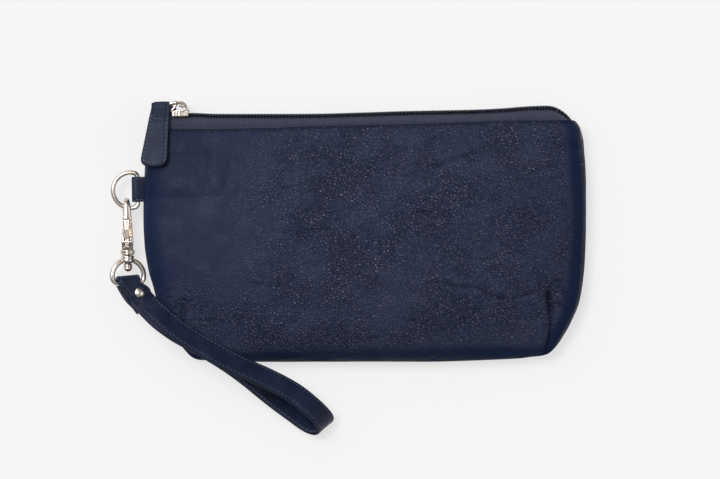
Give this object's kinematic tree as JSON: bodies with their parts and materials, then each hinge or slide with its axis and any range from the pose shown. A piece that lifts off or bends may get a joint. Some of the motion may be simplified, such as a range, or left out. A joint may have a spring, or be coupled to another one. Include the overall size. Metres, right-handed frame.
{
  "type": "wristlet wallet",
  "caption": "Soft leather zip pouch with a leather pull tab, a side D-ring and a detachable wrist strap on a swivel snap hook, lying flat on its back.",
  "frame": {"origin": "middle of the flat back face that the pouch lies on", "axes": "+Z out of the front, +Y towards the zip, +X to the right with the strap hanging on the left"},
  "size_m": [0.2263, 0.1595, 0.026],
  "materials": {
    "leather_navy": "soft pebbled navy leather with fine wavy creases",
    "leather_trim": "smooth navy leather with stitched and painted edges",
    "lining_cloth": "fine woven lining",
    "zip_tape": "woven navy zip tape",
    "zip_coil": "near-black nylon coil",
    "nickel": "polished nickel plating",
    "spring_steel": "plain spring steel"
  },
  "bodies": {
    "pouch": {"front_panel": "leather_navy", "back_panel": "leather_navy", "lining_front": "lining_cloth", "lining_back": "lining_cloth", "slip_pocket": "lining_cloth", "zip_tape_front": "zip_tape", "zip_tape_back": "zip_tape", "zip_coil_front": "zip_coil", "zip_coil_back": "zip_coil", "zip_top_stops": "nickel", "zip_bottom_stop": "nickel", "ring_tab": "leather_trim"},
    "slider": {"slider_body": "nickel", "slider_crown": "nickel"},
    "link": {"pull_link": "nickel"},
    "pull": {"pull_tab": "leather_trim"},
    "ring": {"d_ring": "nickel"},
    "hook": {"hook_body": "nickel", "swivel_pin": "nickel", "gate_pin": "nickel", "gate_spring": "spring_steel"},
    "gate": {"hook_gate": "nickel"},
    "loop": {"swivel_loop": "nickel"},
    "strap": {"wrist_strap": "leather_trim", "rivet_cap": "nickel", "rivet_post": "nickel"}
  },
  "joints": [
    {"name": "zip_slide", "type": "slide", "parent": "pouch", "child": "slider", "axis": [1, 0, 0], "range_m": [0, 0.168], "deforming": ["zip_coil_front", "zip_coil_back"]},
    {"name": "link_swing", "type": "hinge", "parent": "slider", "child": "link", "pos_m": [-0.0864, 0.0632, 0.009], "axis": [0, 0, -1], "range_deg": [0, 160]},
    {"name": "tab_swing", "type": "hinge", "parent": "link", "child": "pull", "pos_m": [-0.096, 0.0639, 0.0125], "axis": [-1, 0, 0], "range_deg": [0, 110]},
    {"name": "ring_swing", "type": "hinge", "parent": "pouch", "child": "ring", "pos_m": [-0.1074, 0.0236, 0.009], "axis": [0, -1, 0], "range_deg": [0, 60]},
    {"name": "hook_swing", "type": "hinge", "parent": "ring", "child": "hook", "pos_m": [-0.1126, 0.0154, 0.009], "axis": [-1, 0, 0], "range_deg": [0, 90]},
    {"name": "gate_press", "type": "hinge", "parent": "hook", "child": "gate", "pos_m": [-0.1126, -0.0008, 0.0122], "axis": [-1, 0, 0], "range_deg": [0, 22], "stiffness_Nm_per_rad": 0.02, "deforming": ["gate_spring"]},
    {"name": "loop_swivel", "type": "hinge", "parent": "hook", "child": "loop", "pos_m": [-0.1126, -0.0091, 0.009], "axis": [0, -1, 0], "range_deg": [0, 180]},
    {"name": "strap_swing", "type": "hinge", "parent": "loop", "child": "strap", "pos_m": [-0.1126, -0.0204, 0.009], "axis": [-0.9613, 0, 0.2756], "range_deg": [0, 60]}
  ]
}
